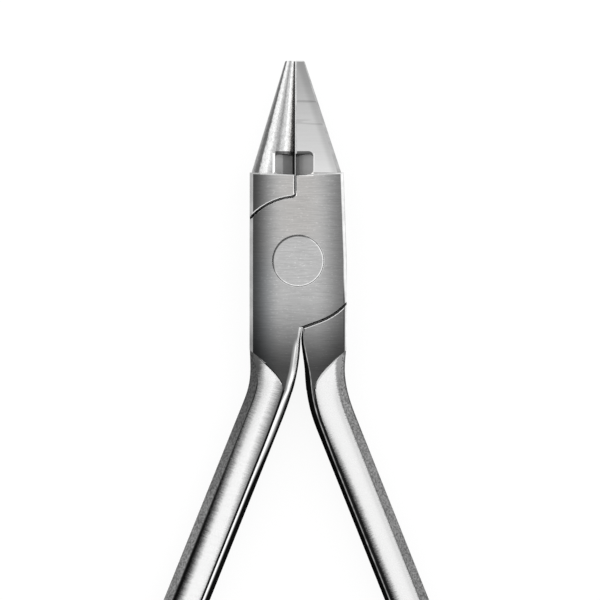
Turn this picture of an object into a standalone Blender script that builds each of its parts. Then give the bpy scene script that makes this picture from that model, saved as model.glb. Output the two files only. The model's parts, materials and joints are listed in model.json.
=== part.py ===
"""Orthodontic wire-bending pliers: a round beak that closes on a square beak, a riveted lap joint, and a
wire cutter ground into the root of the beaks. Run it with blender --background --python part.py.

Each half is drawn in its own frame. The pivot runs along Z through the origin, and the half's joint plate
faces +Z. Its beak points to +Y, right of the jaw line, and its handle runs down to -Y on the left. The back
half is made by the same functions and turned half a turn about Y, so it shows its back in front.
"""

import math
from typing import NamedTuple

import bmesh
import bpy
from mathutils import Matrix, Vector

MM = 0.001

# Joint body
JOINT_THICKNESS = 7.2 * MM
JOINT_HALF_WIDTH = 6.67 * MM
FRONT_SHOULDER_HALF_WIDTH = 6.24 * MM
BACK_SHOULDER_HALF_WIDTH = 6.64 * MM
JOINT_TOP_Y = 12.12 * MM
JOINT_TOP_DIP = 0.30 * MM
SIDE_CHAMFER = 0.46 * MM
TOP_CHAMFER = 0.20 * MM
EDGE_BREAK = 0.14 * MM

# Lap joint
LAP_RADIUS = 8.84 * MM
LAP_OPENING = math.radians(12)
LAP_RUNOUT_ANGLE = math.radians(-70)
PARTING_GAP = 0.22 * MM
JAW_GAP = 0.04 * MM
LAP_FACE_GAP = 0.12 * MM
JAW_CORNER_RADIUS = 0.50 * MM
JAW_LINE_X = -0.40 * MM
FRONT_CROTCH_X = 0.55 * MM
BACK_CROTCH_X = -0.68 * MM

# Rivet
RIVET_HEAD_RADIUS = 3.48 * MM
RIVET_HEAD_DEPTH = 1.40 * MM
RIVET_SHANK_RADIUS = 2.10 * MM
RIVET_TAIL_RADIUS = 2.80 * MM
RIVET_TAIL_DEPTH = 1.10 * MM
RIVET_EDGE_BREAK = 0.08 * MM
RIVET_CLEARANCE = 0.06 * MM

# Beaks, with their root just inside the joint body
BEAK_TIP_Y = 27.52 * MM
BEAK_ROOT_SINK = 0.05 * MM
BEAK_TIP_BREAK = 0.12 * MM
ROUND_TIP_DIAMETER = 1.36 * MM
ROUND_ROOT_DIAMETER = 6.12 * MM
SQUARE_TIP_WIDTH = 1.24 * MM
SQUARE_TIP_THICKNESS = 1.40 * MM
SQUARE_ROOT_WIDTH = 6.40 * MM
SQUARE_ROOT_THICKNESS = 6.20 * MM
SQUARE_TIP_CHAMFER = 0.14 * MM
SQUARE_ROOT_CHAMFER = 0.55 * MM
SQUARE_INNER_BREAK = 0.20 * MM

# Wire cutter: a window above the joint body, whose bevels leave a cutting edge at mid-thickness
WINDOW_TOP_Y = 15.06 * MM
WINDOW_TOP_SLOPE = 0.70 * MM
WINDOW_SINK = 0.03 * MM
WINDOW_CORNER_RADIUS = 0.60 * MM
CUTTER_EDGE_LAND = 0.10 * MM
CUTTER_RELIEF_HEIGHT = 2.35 * MM

# Handles: runs are lengths along the handle's middle line, and drops are depths below its crest
HANDLE_START_Y = -10.50 * MM
HANDLE_BEND_RUN = 9.50 * MM
HANDLE_BAR_RUN = 41.0 * MM
HANDLE_PALM_RUN = 54.5 * MM
HANDLE_END_ROUNDING = 2.80 * MM
HANDLE_TAIL_HEADING = -6.0
HANDLE_THICKNESS = 7.8 * MM
HANDLE_TAIL_THICKNESS = 6.2 * MM
HANDLE_PALM_WIDTH = 6.30 * MM
HANDLE_TAIL_WIDTH = 5.60 * MM
NECK_TO_BAR_RUN = 6.0 * MM

# Handle section: a flank outside, a round crown, and a narrow strip and flank inside
OUTER_FLANK_WIDTH = 1.22 * MM
OUTER_LAND = 1.00 * MM
CROWN_OUTER_DROP = 1.30 * MM
CROWN_INNER_DROP = 0.62 * MM
CREASE_WIDTH = 0.16 * MM
INNER_WIDTH = 1.10 * MM
INNER_FLANK_WIDTH = 0.56 * MM
STRIP_DROP = 0.95 * MM
INNER_LAND = 1.20 * MM
CROWN_ROOT_DROP = 0.22 * MM
OUTER_BLEND_RUN = 6.0 * MM
INNER_BLEND_RUN = 9.0 * MM

# The milled joint face ends in a curve against the handle's crown, and runs out in a tongue beside it
FACE_CORNER_Y = -12.20 * MM
FACE_TONGUE_Y = -17.30 * MM
FACE_CORNER_SLOPE = math.radians(37)
TONGUE_WIDTH = 1.20 * MM
FACE_SKIN = 0.03 * MM
MILL_LEDGE = 0.04 * MM

# Fineness of the round shapes
TURNED_STEPS = 72
CONE_STEPS = 64
LAP_ARC_STEP = math.radians(6)
CORNER_STEP = math.radians(15)
CROWN_STEPS = 14
FACE_END_STEPS = 8
TONGUE_STEPS = 8
BEND_SECTIONS = 14
BLEND_SECTIONS = 6
BAR_SECTIONS = 3
PALM_SECTIONS = 18
END_SECTION_ANGLES = [math.radians(a) for a in (0, 18, 36, 52, 66, 78)]
RUN_STEP = 0.5 * MM
SETTLING_ROUNDS = 40
SMOOTH_BELOW = math.radians(20)
CUTTER_MARGIN = 1.5 * MM

STEEL_COLOUR = (0.56, 0.56, 0.55, 1)
RIVET_COLOUR = (0.60, 0.60, 0.59, 1)


class HalfShape(NamedTuple):
    """What differs between the halves, in the half's own frame. The lap side is 1 for the front half, whose
    lower lap edge runs out on the right, and -1 for the back half."""
    jaw_line: float
    lap_side: int
    crotch_x: float
    inner_chamfer: float
    shoulder_half_width: float
    partner_half_width: float
    handle_inner_x: float
    root_run: float
    root_heading: float
    lean: float
    neck_run: float
    neck_width: float
    bar_width: float
    window_reach: float
    cutter_bevels: tuple
    seat_radius: float
    seat_depth: float

    @property
    def jaw_face(self):
        return self.jaw_line + JAW_GAP / 2


FRONT = HalfShape(
    jaw_line=JAW_LINE_X,
    lap_side=1,
    crotch_x=FRONT_CROTCH_X,
    inner_chamfer=0.42 * MM,
    shoulder_half_width=FRONT_SHOULDER_HALF_WIDTH,
    partner_half_width=BACK_SHOULDER_HALF_WIDTH,
    handle_inner_x=0.30 * MM,
    root_run=1.5 * MM,
    root_heading=1.5,
    lean=21.9,
    neck_run=9.0 * MM,
    neck_width=5.88 * MM,
    bar_width=5.90 * MM,
    window_reach=2.48 * MM,
    cutter_bevels=((0.60 * MM, 1.00 * MM), (1.12 * MM, 1.50 * MM)),
    seat_radius=RIVET_HEAD_RADIUS,
    seat_depth=RIVET_HEAD_DEPTH,
)

BACK = HalfShape(
    jaw_line=-JAW_LINE_X,
    lap_side=-1,
    crotch_x=BACK_CROTCH_X,
    inner_chamfer=0.32 * MM,
    shoulder_half_width=BACK_SHOULDER_HALF_WIDTH,
    partner_half_width=FRONT_SHOULDER_HALF_WIDTH,
    handle_inner_x=-0.43 * MM,
    root_run=3.2 * MM,
    root_heading=1.5,
    lean=21.75,
    neck_run=4.8 * MM,
    neck_width=5.45 * MM,
    bar_width=5.65 * MM,
    window_reach=2.78 * MM,
    cutter_bevels=((1.62 * MM, 1.40 * MM),),
    seat_radius=RIVET_TAIL_RADIUS,
    seat_depth=RIVET_TAIL_DEPTH,
)


# Scene helpers
def clear_scene():
    for thing in list(bpy.data.objects):
        bpy.data.objects.remove(thing)


def make_collection(name):
    collection = bpy.data.collections.new(name)
    bpy.context.scene.collection.children.link(collection)
    return collection


def make_material(name, colour, roughness):
    material = bpy.data.materials.new(name)
    material.use_nodes = True
    shader = material.node_tree.nodes["Principled BSDF"]
    shader.inputs["Base Color"].default_value = colour
    shader.inputs["Roughness"].default_value = roughness
    shader.inputs["Metallic"].default_value = 1.0
    return material


def make_empty(name, parent, collection):
    empty = bpy.data.objects.new(name, None)
    empty.empty_display_size = 5 * MM
    empty.parent = parent
    collection.objects.link(empty)
    return empty


def add_part(name, mesh, material, body, collection):
    item = bpy.data.objects.new(name, mesh)
    item.parent = body
    mesh.materials.append(material)
    collection.objects.link(item)
    return item


def add_helper(name, mesh, body, collection):
    """A cutter, or a shape that is joined to a part: it isn't a piece by itself."""
    item = bpy.data.objects.new(name, mesh)
    item.parent = body
    item.hide_render = True
    item.display_type = "WIRE"
    collection.objects.link(item)
    return item


def add_boolean(item, other, operation):
    modifier = item.modifiers.new(f"{operation.lower()} {other.name}", "BOOLEAN")
    modifier.operation = operation
    modifier.solver = "EXACT"
    modifier.object = other


def make_shading_group():
    """Nodes that shade a finished piece smooth, and keep the edges sharper than an angle hard."""
    group = bpy.data.node_groups.new("smooth shading", "GeometryNodeTree")
    group.interface.new_socket("Geometry", in_out="INPUT", socket_type="NodeSocketGeometry")
    group.interface.new_socket("Geometry", in_out="OUTPUT", socket_type="NodeSocketGeometry")
    entry = group.nodes.new("NodeGroupInput")
    faces = group.nodes.new("GeometryNodeSetShadeSmooth")
    edges = group.nodes.new("GeometryNodeSetShadeSmooth")
    edges.domain = "EDGE"
    angle = group.nodes.new("GeometryNodeInputMeshEdgeAngle")
    below = group.nodes.new("FunctionNodeCompare")
    below.operation = "LESS_THAN"
    below.inputs[1].default_value = SMOOTH_BELOW
    result = group.nodes.new("NodeGroupOutput")
    group.links.new(entry.outputs[0], faces.inputs["Geometry"])
    group.links.new(faces.outputs[0], edges.inputs["Geometry"])
    group.links.new(angle.outputs["Unsigned Angle"], below.inputs[0])
    group.links.new(below.outputs[0], edges.inputs["Shade Smooth"])
    group.links.new(edges.outputs[0], result.inputs[0])
    return group


def add_shading(item, group):
    modifier = item.modifiers.new("smooth shading", "NODES")
    modifier.node_group = group


def add_turning(item):
    """Spins a profile that runs down its outer side at +X into a closed solid about Z."""
    screw = item.modifiers.new("turn", "SCREW")
    screw.steps = screw.render_steps = TURNED_STEPS
    screw.use_merge_vertices = True
    screw.merge_threshold = 0.01 * MM


# Outlines and meshes
def arc(radius, start, end, centre=(0.0, 0.0), step=CORNER_STEP):
    """Points along an arc from one angle to another, ends included."""
    steps = math.ceil(abs(end - start) / step)
    angles = [start + (end - start) * i / steps for i in range(steps + 1)]
    return [(centre[0] + radius * math.cos(a), centre[1] + radius * math.sin(a)) for a in angles]


def tangent_curve(first, first_way, last, last_way, steps):
    """Points along a smooth curve that leaves the first point and reaches the last along these ways."""
    across = last_way.x * first_way.y - last_way.y * first_way.x
    chord = last - first
    reach = (last_way.x * chord.y - last_way.y * chord.x) / across
    pull = first + first_way * reach
    points = []
    for i in range(steps + 1):
        share = i / steps
        point = first.lerp(pull, share).lerp(pull.lerp(last, share), share)
        points.append((point.x, point.y))
    return points


def outline_mesh(name, points, low, high):
    """A flat outline, drawn as a 2D curve in XY and extruded from one height to another, as a closed mesh."""
    curve = bpy.data.curves.new(name, "CURVE")
    curve.dimensions = "2D"
    curve.fill_mode = "BOTH"
    curve.extrude = (high - low) / 2
    spline = curve.splines.new("POLY")
    spline.points.add(len(points) - 1)
    for point, (x, y) in zip(spline.points, points):
        point.co = (x, y, 0, 1)
    spline.use_cyclic_u = True
    drawn = bpy.data.objects.new(name, curve)
    drawn.location.z = (high + low) / 2
    bpy.context.scene.collection.objects.link(drawn)
    bpy.context.view_layer.update()
    evaluated = drawn.evaluated_get(bpy.context.evaluated_depsgraph_get())
    mesh = bpy.data.meshes.new_from_object(evaluated)
    mesh.transform(drawn.matrix_world)
    bpy.data.objects.remove(drawn)
    weld_flat_faces(mesh)
    return mesh


def weld_flat_faces(mesh):
    """Joins a curve's loose caps to its walls, and each cap's triangles to one face."""
    skin = bmesh.new()
    skin.from_mesh(mesh)
    bmesh.ops.remove_doubles(skin, verts=skin.verts, dist=0.001 * MM)
    flat_edges = [e for e in skin.edges if e.is_manifold and e.calc_face_angle() < math.radians(0.1)]
    bmesh.ops.dissolve_edges(skin, edges=flat_edges, use_verts=False)
    bmesh.ops.recalc_face_normals(skin, faces=skin.faces)
    skin.to_mesh(mesh)
    skin.free()


def profile_mesh(name, profile):
    """An open profile of (radius, height) points in the XZ plane, ready for turning."""
    mesh = bpy.data.meshes.new(name)
    mesh.from_pydata([(r, 0, z) for r, z in profile], [(i, i + 1) for i in range(len(profile) - 1)], [])
    return mesh


def loft_mesh(name, sections):
    """A closed skin through sections of equally many points, with flat ends."""
    skin = bmesh.new()
    rings = [[skin.verts.new(point) for point in section] for section in sections]
    for ring, following in zip(rings, rings[1:]):
        for i in range(len(ring)):
            j = (i + 1) % len(ring)
            skin.faces.new((ring[i], ring[j], following[j], following[i]))
    skin.faces.new(rings[0])
    skin.faces.new(rings[-1])
    bmesh.ops.recalc_face_normals(skin, faces=skin.faces)
    mesh = bpy.data.meshes.new(name)
    skin.to_mesh(mesh)
    skin.free()
    return mesh


# Handle
def eased(share):
    """Goes smoothly from 0 to 1 as share does, and stays there."""
    share = min(1.0, max(0.0, share))
    return share * share * (3 - 2 * share)


def mixed(share, start, end):
    return start + (end - start) * share


HANDLE_LENGTH = HANDLE_BAR_RUN + HANDLE_PALM_RUN
HANDLE_BODY_RUN = HANDLE_LENGTH - HANDLE_END_ROUNDING
PALM_MIDDLE_RUN = HANDLE_BAR_RUN + HANDLE_PALM_RUN / 2


def handle_heading(shape, run):
    """The angle in radians by which the handle leans out: it bends out, runs straight, then sweeps in."""
    if run < HANDLE_BAR_RUN:
        share = eased((run - shape.root_run) / HANDLE_BEND_RUN)
        return math.radians(mixed(share, shape.root_heading, shape.lean))
    share = eased((run - HANDLE_BAR_RUN) / HANDLE_PALM_RUN)
    return math.radians(mixed(share, shape.lean, HANDLE_TAIL_HEADING))


def handle_point(shape, run, outward):
    """The place this far along the handle and this far outward from its middle line."""
    steps = max(1, math.ceil(run / RUN_STEP))
    step = run / steps
    outer_x = -JOINT_HALF_WIDTH + FACE_SKIN
    x, y = (outer_x + shape.handle_inner_x) / 2, HANDLE_START_Y
    for i in range(steps):
        heading = handle_heading(shape, (i + 0.5) * step)
        x -= step * math.sin(heading)
        y -= step * math.cos(heading)
    heading = handle_heading(shape, run)
    return x - outward * math.cos(heading), y + outward * math.sin(heading)


def handle_width(shape, run):
    root_width = JOINT_HALF_WIDTH - FACE_SKIN + shape.handle_inner_x
    levels = [
        (0.0, root_width),
        (shape.neck_run, shape.neck_width),
        (shape.neck_run + NECK_TO_BAR_RUN, shape.bar_width),
        (HANDLE_BAR_RUN, shape.bar_width),
        (PALM_MIDDLE_RUN, HANDLE_PALM_WIDTH),
        (HANDLE_LENGTH, HANDLE_TAIL_WIDTH),
    ]
    for (start, size), (end, following) in zip(levels, levels[1:]):
        if run <= end:
            return mixed(eased((run - start) / (end - start)), size, following)
    return HANDLE_TAIL_WIDTH


def handle_thickness(run):
    share = eased((run - PALM_MIDDLE_RUN) / (HANDLE_LENGTH - PALM_MIDDLE_RUN))
    return mixed(share, HANDLE_THICKNESS, HANDLE_TAIL_THICKNESS)


def tongue_run():
    return HANDLE_START_Y - FACE_TONGUE_Y


def crown_arc(outer, inner, crest):
    """(outward, height) points along the round crown between its two ends. Its radius is found by halving a
    range until an arc whose top is at the crest spans both ends."""
    drops = crest - outer[1], crest - inner[1]
    least, most = max(drops), (outer[0] - inner[0]) ** 2 / min(drops)
    for _ in range(SETTLING_ROUNDS):
        radius = (least + most) / 2
        reaches = [math.sqrt(drop * (2 * radius - drop)) for drop in drops]
        if sum(reaches) < outer[0] - inner[0]:
            least = radius
        else:
            most = radius
    middle_x = outer[0] - reaches[0]
    start, end = math.asin(reaches[0] / radius), -math.asin(reaches[1] / radius)
    angles = [mixed(i / CROWN_STEPS, start, end) for i in range(CROWN_STEPS + 1)]
    return [(middle_x + radius * math.sin(a), crest - radius + radius * math.cos(a)) for a in angles]


def handle_section(shape, run):
    """(outward, height) points round the handle. By the joint it is nearly a block with the joint's chamfers,
    and further down the flanks, the crown and the strip have their full depth."""
    half = handle_width(shape, run) / 2
    crest = handle_thickness(run) / 2
    joint_face = JOINT_THICKNESS / 2 - FACE_SKIN
    root_drop = crest - joint_face
    outer = eased((run - shape.root_run) / OUTER_BLEND_RUN)
    inner = eased((run - tongue_run()) / INNER_BLEND_RUN)

    flank_x = half - mixed(outer, SIDE_CHAMFER, OUTER_FLANK_WIDTH)
    flank_z = crest - mixed(outer, root_drop, CROWN_OUTER_DROP)
    crease_x = -half + mixed(inner, TONGUE_WIDTH, INNER_WIDTH)
    crease_z = crest - mixed(inner, CROWN_ROOT_DROP, CROWN_INNER_DROP)
    strip_z = crest - mixed(inner, root_drop, STRIP_DROP)
    inner_x = -half + mixed(inner, shape.inner_chamfer, INNER_FLANK_WIDTH)

    front = [(half, mixed(outer, joint_face - SIDE_CHAMFER, OUTER_LAND))]
    front += crown_arc((flank_x, flank_z), (crease_x, crease_z), crest)
    front.append((crease_x - CREASE_WIDTH, strip_z))
    front.append((inner_x, strip_z - mixed(inner, 0, CREASE_WIDTH)))
    front.append((-half, mixed(inner, joint_face - shape.inner_chamfer, INNER_LAND)))
    return front + [(x, -z) for x, z in reversed(front)]


def handle_runs(shape):
    """The runs at which the handle has a section, close together in the bend, the sweep and the round end."""
    bend_end = shape.root_run + HANDLE_BEND_RUN
    blend_end = tongue_run() + INNER_BLEND_RUN
    stretches = [
        (0.0, bend_end, BEND_SECTIONS),
        (bend_end, blend_end, BLEND_SECTIONS),
        (blend_end, HANDLE_BAR_RUN, BAR_SECTIONS),
        (HANDLE_BAR_RUN, HANDLE_BODY_RUN, PALM_SECTIONS),
    ]
    runs = [mixed(i / count, start, end) for start, end, count in stretches for i in range(count)]
    return runs + [HANDLE_BODY_RUN + HANDLE_END_ROUNDING * math.sin(a) for a in END_SECTION_ANGLES]


def handle_mesh(name, shape):
    sections = []
    for run in handle_runs(shape):
        past = max(0.0, (run - HANDLE_BODY_RUN) / HANDLE_END_ROUNDING)
        scale = math.sqrt(1 - past * past)
        section = handle_section(shape, run)
        sections.append([(*handle_point(shape, run, out * scale), z * scale) for out, z in section])
    return loft_mesh(name, sections)


# Joint body
def face_end_curve(shape, offset):
    """The curved end of the flat face from the tip of its tongue, where it leaves the crown's crease without
    a kink, to the corner at the outer side. An offset moves it out over the crown."""
    crease = -handle_width(shape, tongue_run()) / 2 + TONGUE_WIDTH
    tip = Vector(handle_point(shape, tongue_run(), crease))
    corner = Vector((-JOINT_HALF_WIDTH, FACE_CORNER_Y))
    heading = handle_heading(shape, tongue_run())
    up_crease = Vector((math.sin(heading), math.cos(heading)))
    to_corner = Vector((-math.cos(FACE_CORNER_SLOPE), math.sin(FACE_CORNER_SLOPE)))
    away = Vector((tip.y - corner.y, corner.x - tip.x)).normalized() * offset
    return tangent_curve(tip + away, up_crease, corner + away, to_corner, FACE_END_STEPS)


def tongue_inner_edge(shape):
    """Points down the handle's inner edge, a skin outside it, to the end of the tongue."""
    runs = [tongue_run() * i / TONGUE_STEPS for i in range(TONGUE_STEPS + 1)]
    return [handle_point(shape, run, -handle_width(shape, run) / 2 - FACE_SKIN) for run in runs]


def jaw_corner(shape, side):
    """The radius and centre of the round corner between the jaw face and the lap arc: the corner of this
    half's shoulder, right of the face (1), or the one in its plate, left of the face (-1)."""
    radius = JAW_CORNER_RADIUS - side * PARTING_GAP / 2
    x = shape.jaw_face + side * radius
    return radius, (x, math.sqrt((LAP_RADIUS + JAW_CORNER_RADIUS) ** 2 - x * x))


def joint_top_y(shape, x):
    """The joint body's top edge, which dips towards the jaw line."""
    share = (x - shape.jaw_face) / (shape.shoulder_half_width - shape.jaw_face)
    return JOINT_TOP_Y - JOINT_TOP_DIP * (1 - share)


def lap_end_angle(radius, top_half_width):
    """The angle above the pivot's level at which an arc about it meets the joint's tapering side."""
    y = 0.0
    for _ in range(SETTLING_ROUNDS):
        x = mixed(y / JOINT_TOP_Y, JOINT_HALF_WIDTH, top_half_width)
        y = math.sqrt(radius * radius - x * x)
    return math.atan2(y, x)


def runout_y(radius, x):
    """The height at this x of the straight line in which the front half's lower lap arc runs out."""
    return (radius - x * math.cos(LAP_RUNOUT_ANGLE)) / math.sin(LAP_RUNOUT_ANGLE)


def lower_lap_edge(shape, radius):
    """Points down the lower edge of this half's plate to its crotch: an arc, which on the front half runs out
    straight."""
    start = -math.acos(JOINT_HALF_WIDTH / radius)
    if shape.lap_side < 0:
        return arc(radius, start, -math.acos(shape.crotch_x / radius), step=LAP_ARC_STEP)
    crotch = (shape.crotch_x, runout_y(radius, shape.crotch_x))
    return arc(radius, start, LAP_RUNOUT_ANGLE, step=LAP_ARC_STEP) + [crotch]


def joint_outline(shape, offset=0.0):
    """The joint body's outline on its own plate's side, clockwise from the top of the jaw face, as stretches
    of (chamfer, points). A stretch's chamfer is that of the edges from its points to the next ones."""
    plate_radius = LAP_RADIUS - PARTING_GAP / 2
    high_angle = math.pi - lap_end_angle(plate_radius, shape.partner_half_width)
    corner_radius, corner = jaw_corner(shape, -1)
    corner_angle = math.atan2(corner[1], corner[0])
    lower_edge = lower_lap_edge(shape, plate_radius)
    upper_arc = arc(plate_radius, high_angle, corner_angle, step=LAP_ARC_STEP)
    return [
        (TOP_CHAMFER, [(shape.jaw_face, joint_top_y(shape, shape.jaw_face))]),
        (SIDE_CHAMFER, [(shape.shoulder_half_width, JOINT_TOP_Y), (JOINT_HALF_WIDTH, 0.0)]),
        (EDGE_BREAK, lower_edge[:-1]),
        (shape.inner_chamfer, lower_edge[-1:] + tongue_inner_edge(shape)[:-1]),
        (0.0, tongue_inner_edge(shape)[-1:] + face_end_curve(shape, offset)[:-1]),
        (SIDE_CHAMFER, face_end_curve(shape, offset)[-1:] + [(-JOINT_HALF_WIDTH, 0.0)]),
        (EDGE_BREAK, upper_arc),
        (EDGE_BREAK, arc(corner_radius, corner_angle - math.pi, 0.0, corner)[1:-1]),
        (TOP_CHAMFER, [(shape.jaw_face, corner[1])]),
    ]


def outline_points(stretches):
    return [point for chamfer, points in stretches for point in points]


def weigh_rim(mesh, stretches):
    """Gives the edges round both faces their chamfers, as bevel weights. An edge takes the chamfer of the
    outline's nearest edge."""
    points = outline_points(stretches)
    chamfers = [chamfer for chamfer, stretch in stretches for point in stretch]
    middles = [(Vector(a) + Vector(b)) / 2 for a, b in zip(points, points[1:] + points[:1])]
    weights = mesh.attributes.new("bevel_weight_edge", "FLOAT", "EDGE")
    for edge, weight in zip(mesh.edges, weights.data):
        start, end = (mesh.vertices[i].co for i in edge.vertices)
        if abs(start.z - end.z) > FACE_SKIN:
            continue
        middle = ((start + end) / 2).xy
        nearest = min(range(len(points)), key=lambda i: (middles[i] - middle).length_squared)
        weight.value = chamfers[nearest] / SIDE_CHAMFER


def joint_body_mesh(name, shape):
    stretches = joint_outline(shape)
    mesh = outline_mesh(name, outline_points(stretches), -JOINT_THICKNESS / 2, JOINT_THICKNESS / 2)
    weigh_rim(mesh, stretches)
    return mesh


def add_rim_chamfers(item):
    bevel = item.modifiers.new("rim chamfers", "BEVEL")
    bevel.limit_method = "WEIGHT"
    bevel.width = SIDE_CHAMFER
    bevel.segments = 1
    bevel.use_clamp_overlap = False


def mill_mesh(name, shape, side):
    """What a milling cutter takes off the handle over the flat face on one side (1 or -1). Its wall slopes,
    so the crown ends in a chamfer."""
    floor = JOINT_THICKNESS / 2 - FACE_SKIN / 2
    rise = (HANDLE_THICKNESS - JOINT_THICKNESS) / 2 + FACE_SKIN * 4
    low = outline_points(joint_outline(shape, MILL_LEDGE))
    high = outline_points(joint_outline(shape, MILL_LEDGE + rise))
    sections = [[(x, y, side * floor) for x, y in low], [(x, y, side * (floor + rise)) for x, y in high]]
    return loft_mesh(name, sections)


def lap_cutter_outline(shape, flare):
    """The outline of the laps and their gap, wider by a flare. It starts at the round corner of this half's
    shoulder at the jaw, and goes round clockwise, past the straight run-out above the crotch."""
    corner_radius, corner = jaw_corner(shape, 1)
    corner_angle = math.atan2(corner[1], corner[0])
    radius = LAP_RADIUS + PARTING_GAP / 2
    far_x = FRONT_CROTCH_X - PARTING_GAP
    leave, rejoin = LAP_RUNOUT_ANGLE, -math.acos(far_x / radius)
    if shape.lap_side < 0:
        leave, rejoin = -math.pi - rejoin, -math.pi - leave
    lap_end = corner_angle + LAP_OPENING - 2 * math.pi
    points = arc(corner_radius - flare, math.pi, math.pi + corner_angle, corner)
    points += arc(radius + flare, corner_angle, leave, step=LAP_ARC_STEP)[1:]
    points.append((shape.lap_side * far_x, runout_y(radius + flare, far_x)))
    return points + arc(radius + flare, rejoin, lap_end, step=LAP_ARC_STEP)


def lap_cutter_mesh(name, shape):
    """The room for the other half's plate: everything behind this half's own plate. It flares at the back
    face, so the edge of the shoulder there is broken."""
    back = -JOINT_THICKNESS / 2
    levels = [
        (back - CUTTER_MARGIN, EDGE_BREAK),
        (back, EDGE_BREAK),
        (back + EDGE_BREAK, 0.0),
        (LAP_FACE_GAP / 2, 0.0),
    ]
    return loft_mesh(name, [[(x, y, z) for x, y in lap_cutter_outline(shape, flare)] for z, flare in levels])


# Beaks
def beak_root_y():
    return JOINT_TOP_Y - JOINT_TOP_DIP - BEAK_ROOT_SINK


def round_beak_mesh(name, shape):
    """A cone whose inner side lies along the jaw face."""
    length = BEAK_TIP_Y - beak_root_y()
    skin = bmesh.new()
    bmesh.ops.create_cone(
        skin, cap_ends=True, segments=CONE_STEPS,
        radius1=ROUND_ROOT_DIAMETER / 2, radius2=ROUND_TIP_DIAMETER / 2, depth=length,
    )
    tip_rim = [e for e in skin.edges if all(v.co.z > 0 for v in e.verts)]
    bmesh.ops.bevel(skin, geom=tip_rim, offset=BEAK_TIP_BREAK, segments=2, profile=0.5, affect="EDGES")
    lean = (ROUND_TIP_DIAMETER - ROUND_ROOT_DIAMETER) / 2 / length
    shear = Matrix(((1, 0, lean, 0), (0, 1, 0, 0), (0, 0, 1, 0), (0, 0, 0, 1)))
    middle_radius = (ROUND_TIP_DIAMETER + ROUND_ROOT_DIAMETER) / 4
    middle = Matrix.Translation((shape.jaw_face + middle_radius, beak_root_y() + length / 2, 0))
    point_up_y = Matrix.Rotation(-math.pi / 2, 4, "X")
    skin.transform(middle @ point_up_y @ shear)
    mesh = bpy.data.meshes.new(name)
    skin.to_mesh(mesh)
    skin.free()
    return mesh


def square_section(shape, y, width, thickness, chamfer, inner_break):
    """A rectangle across the beak, with its inner side on the jaw face and its long edges chamfered."""
    inner_x = shape.jaw_face
    outer_x = inner_x + width
    half = thickness / 2
    side = [
        (inner_x, half - inner_break),
        (inner_x + inner_break, half),
        (outer_x - chamfer, half),
        (outer_x, half - chamfer),
    ]
    return [(x, y, z) for x, z in side + [(x, -z) for x, z in reversed(side)]]


def square_beak_mesh(name, shape):
    root_y = beak_root_y()
    near_tip = 1 - BEAK_TIP_BREAK / (BEAK_TIP_Y - root_y)
    root = (SQUARE_ROOT_WIDTH, SQUARE_ROOT_THICKNESS, SQUARE_ROOT_CHAMFER)
    tip = (SQUARE_TIP_WIDTH, SQUARE_TIP_THICKNESS, SQUARE_TIP_CHAMFER)
    below_tip = [mixed(near_tip, r, t) for r, t in zip(root, tip)]
    blunt_thickness = SQUARE_TIP_THICKNESS - 2 * BEAK_TIP_BREAK
    blunted = (SQUARE_TIP_WIDTH - BEAK_TIP_BREAK, blunt_thickness, SQUARE_TIP_CHAMFER)
    return loft_mesh(name, [
        square_section(shape, root_y, *root, SQUARE_INNER_BREAK),
        square_section(shape, BEAK_TIP_Y - BEAK_TIP_BREAK, *below_tip, SQUARE_INNER_BREAK),
        square_section(shape, BEAK_TIP_Y, *blunted, SQUARE_INNER_BREAK),
    ])


# Wire cutter
def window_outline(shape, top_y):
    """The window's outline: past the jaw face on the left, with round corners on the right."""
    left = shape.jaw_line - CUTTER_MARGIN
    right = shape.jaw_line + shape.window_reach
    radius = WINDOW_CORNER_RADIUS
    low_left = joint_top_y(shape, shape.jaw_face) - WINDOW_SINK
    low_right = joint_top_y(shape, right - radius) - WINDOW_SINK
    points = [(left, low_left), (shape.jaw_face, low_left)]
    points += arc(radius, -math.pi / 2, 0, (right - radius, low_right + radius))
    points += arc(radius, 0, math.pi / 2, (right - radius, top_y - radius))
    return points + [(left, top_y)]


def window_mesh(name, shape):
    """The whole window from front to back. Its top wall slopes down to mid-thickness."""
    reach = JOINT_THICKNESS / 2 + CUTTER_MARGIN
    levels = [(-reach, WINDOW_TOP_Y), (0.0, WINDOW_TOP_Y - WINDOW_TOP_SLOPE), (reach, WINDOW_TOP_Y)]
    return loft_mesh(name, [[(x, y, z) for x, y in window_outline(shape, top)] for z, top in levels])


def cutter_wedge_mesh(name, shape):
    """The steel that stays in the window: a cutting edge at the jaw face, its bevels, and a flat relief."""
    land = CUTTER_EDGE_LAND / 2
    bevels = [(shape.jaw_face + width, height) for width, height in shape.cutter_bevels]
    relief_x = shape.jaw_line + shape.window_reach
    slope = (CUTTER_RELIEF_HEIGHT - bevels[-1][1]) / (relief_x - bevels[-1][0])
    side = [
        (shape.jaw_line - 2 * CUTTER_MARGIN, land),
        (shape.jaw_face, land),
        *bevels,
        (relief_x + CUTTER_MARGIN, CUTTER_RELIEF_HEIGHT + slope * CUTTER_MARGIN),
    ]
    outline = side + [(x, -z) for x, z in reversed(side)]
    mesh = outline_mesh(name, outline, -WINDOW_TOP_Y - CUTTER_MARGIN, -JOINT_TOP_Y + CUTTER_MARGIN)
    mesh.transform(Matrix.Rotation(math.pi / 2, 4, "X"))
    return mesh


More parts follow.
